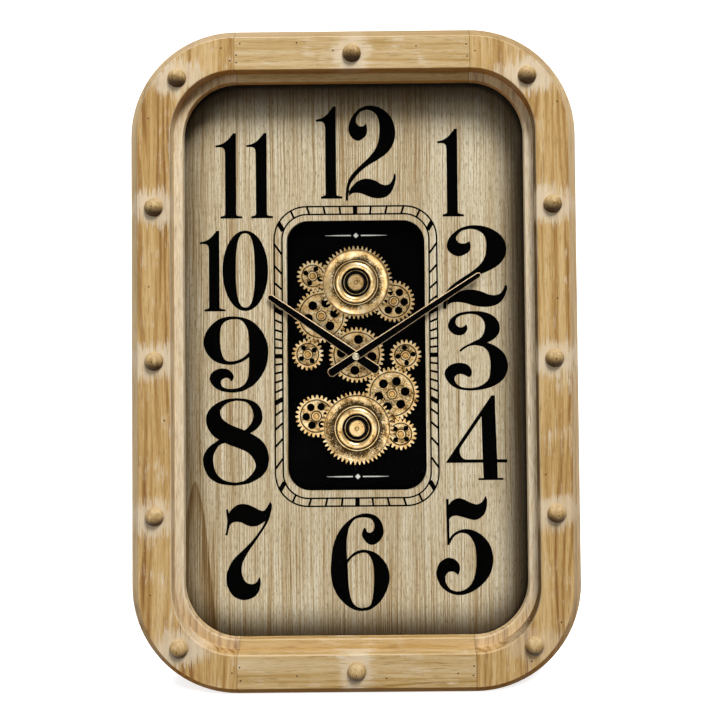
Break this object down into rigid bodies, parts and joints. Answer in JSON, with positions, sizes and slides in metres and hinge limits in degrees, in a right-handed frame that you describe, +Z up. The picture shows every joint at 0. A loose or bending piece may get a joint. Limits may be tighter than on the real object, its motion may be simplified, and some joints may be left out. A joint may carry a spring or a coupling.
{
  "type": "wooden gear wall clock",
  "caption": "Tall wooden wall clock with rounded corners, domed buttons, a glazed numbered dial and a window on a running brass gear train behind its hands.",
  "frame": {"origin": "centre of the bounding box's bottom face, under the bottom rail", "axes": "+X to the right as the dial is read, +Y from the dial to the wall, +Z up along the long side"},
  "size_m": [0.46, 0.0864, 0.68],
  "materials": {
    "pine": "waxed, lime-washed in places",
    "glass": "clear float glass",
    "dial_veneer": "matt veneer, darkened edge",
    "black_board": "matt black",
    "hardboard": "smooth brown hardboard",
    "antique_brass": "antique, brushed",
    "plain_brass": "turned",
    "bright_steel": "zinc plated",
    "black_hand": "black with bright bevelled edges",
    "silver_cap": "satin",
    "black_plastic": "fine grain",
    "cell": "plain printed sleeve"
  },
  "bodies": {
    "clock_body": {"top_rail": "pine", "bottom_rail": "pine", "left_stile": "pine", "right_stile": "pine", "frame_buttons": "pine", "glass_spacer": "pine", "dial_strip_top": "pine", "dial_strip_bottom": "pine", "dial_strip_left": "pine", "dial_strip_right": "pine", "glass_pane": "glass", "dial_panel": "dial_veneer", "window_liner": "black_board", "gear_plate": "black_board", "back_panel": "hardboard", "upper_wheel_cap": "antique_brass", "gear_studs": "antique_brass", "movement_bush": "plain_brass", "mounting_nut": "plain_brass", "bush_collar": "plain_brass", "gear_washers": "bright_steel", "upper_wheel_stud": "bright_steel", "gear_plate_screws": "bright_steel", "motor_screws": "bright_steel", "back_panel_screws": "bright_steel", "hanger_plates": "bright_steel", "hanger_screws": "bright_steel", "movement_case": "black_plastic", "motor_case": "black_plastic"},
    "lower_wheel": {"lower_wheel": "antique_brass", "lower_driver": "antique_brass", "lower_wheel_cap": "antique_brass", "motor_shaft": "bright_steel"},
    "right_idler": {"right_idler": "antique_brass"},
    "centre_gear": {"centre_gear": "antique_brass"},
    "left_idler": {"left_idler": "antique_brass"},
    "upper_wheel": {"upper_wheel": "antique_brass", "upper_driver": "antique_brass"},
    "lower_right_pinion": {"lower_right_pinion": "antique_brass"},
    "right_pinion": {"right_pinion": "antique_brass"},
    "upper_left_pinion": {"upper_left_pinion": "antique_brass"},
    "left_pinion": {"left_pinion": "antique_brass"},
    "upper_right_gear": {"upper_right_gear": "antique_brass"},
    "lower_left_gear": {"lower_left_gear": "antique_brass"},
    "minute_hand": {"minute_hand": "black_hand", "minute_arbor": "bright_steel", "hand_cap": "silver_cap"},
    "hour_hand": {"hour_hand": "black_hand", "hour_sleeve": "plain_brass"},
    "setting_knob": {"setting_knob": "black_plastic"},
    "movement_battery": {"movement_battery": "cell"},
    "motor_battery": {"motor_battery": "cell"}
  },
  "joints": [
    {"name": "lower_wheel_spin", "type": "hinge", "parent": "clock_body", "child": "lower_wheel", "pos_m": [0, 0, 0.26113], "axis": [0, 1, 0], "continuous": true},
    {"name": "right_idler_spin", "type": "hinge", "parent": "clock_body", "child": "right_idler", "pos_m": [0.03814, 0, 0.29719], "axis": [0, 1, 0], "continuous": true},
    {"name": "centre_gear_spin", "type": "hinge", "parent": "clock_body", "child": "centre_gear", "pos_m": [0, 0, 0.34], "axis": [0, 1, 0], "continuous": true},
    {"name": "left_idler_spin", "type": "hinge", "parent": "clock_body", "child": "left_idler", "pos_m": [-0.03814, 0, 0.38281], "axis": [0, 1, 0], "continuous": true},
    {"name": "upper_wheel_spin", "type": "hinge", "parent": "clock_body", "child": "upper_wheel", "pos_m": [0, 0, 0.41887], "axis": [0, 1, 0], "continuous": true},
    {"name": "lower_right_pinion_spin", "type": "hinge", "parent": "clock_body", "child": "lower_right_pinion", "pos_m": [0.04722, 0, 0.25372], "axis": [0, 1, 0], "continuous": true},
    {"name": "right_pinion_spin", "type": "hinge", "parent": "clock_body", "child": "right_pinion", "pos_m": [0.05318, 0, 0.33898], "axis": [0, 1, 0], "continuous": true},
    {"name": "upper_left_pinion_spin", "type": "hinge", "parent": "clock_body", "child": "upper_left_pinion", "pos_m": [-0.04722, 0, 0.42628], "axis": [0, 1, 0], "continuous": true},
    {"name": "left_pinion_spin", "type": "hinge", "parent": "clock_body", "child": "left_pinion", "pos_m": [-0.05318, 0, 0.34102], "axis": [0, 1, 0], "continuous": true},
    {"name": "upper_right_gear_spin", "type": "hinge", "parent": "clock_body", "child": "upper_right_gear", "pos_m": [0.04101, 0, 0.39797], "axis": [0, 1, 0], "continuous": true},
    {"name": "lower_left_gear_spin", "type": "hinge", "parent": "clock_body", "child": "lower_left_gear", "pos_m": [-0.0442, 0, 0.27397], "axis": [0, 1, 0], "continuous": true},
    {"name": "minute_hand_turn", "type": "hinge", "parent": "clock_body", "child": "minute_hand", "pos_m": [0, 0, 0.34], "axis": [0, 1, 0], "continuous": true},
    {"name": "hour_hand_turn", "type": "hinge", "parent": "clock_body", "child": "hour_hand", "pos_m": [0, 0, 0.34], "axis": [0, 1, 0], "continuous": true},
    {"name": "setting_knob_turn", "type": "hinge", "parent": "clock_body", "child": "setting_knob", "pos_m": [0, 0, 0.353], "axis": [0, 1, 0], "continuous": true},
    {"name": "movement_battery_out", "type": "slide", "parent": "clock_body", "child": "movement_battery", "axis": [0, 1, 0], "range_m": [0, 0.03]},
    {"name": "motor_battery_out", "type": "slide", "parent": "clock_body", "child": "motor_battery", "axis": [0, 1, 0], "range_m": [0, 0.03]}
  ],
  "couplings": [
    {"joint": "right_idler_spin", "follows": "lower_wheel_spin", "ratio": -0.85714},
    {"joint": "centre_gear_spin", "follows": "lower_wheel_spin", "ratio": 0.83333},
    {"joint": "left_idler_spin", "follows": "lower_wheel_spin", "ratio": -0.85714},
    {"joint": "upper_wheel_spin", "follows": "lower_wheel_spin", "ratio": 1},
    {"joint": "lower_right_pinion_spin", "follows": "lower_wheel_spin", "ratio": 1.5},
    {"joint": "right_pinion_spin", "follows": "lower_wheel_spin", "ratio": 1.5},
    {"joint": "upper_left_pinion_spin", "follows": "lower_wheel_spin", "ratio": 1.5},
    {"joint": "left_pinion_spin", "follows": "lower_wheel_spin", "ratio": 1.5},
    {"joint": "upper_right_gear_spin", "follows": "lower_wheel_spin", "ratio": -1.1111},
    {"joint": "lower_left_gear_spin", "follows": "lower_wheel_spin", "ratio": -1.1111},
    {"joint": "hour_hand_turn", "follows": "minute_hand_turn", "ratio": 0.083333},
    {"joint": "setting_knob_turn", "follows": "minute_hand_turn", "ratio": -0.33333}
  ]
}
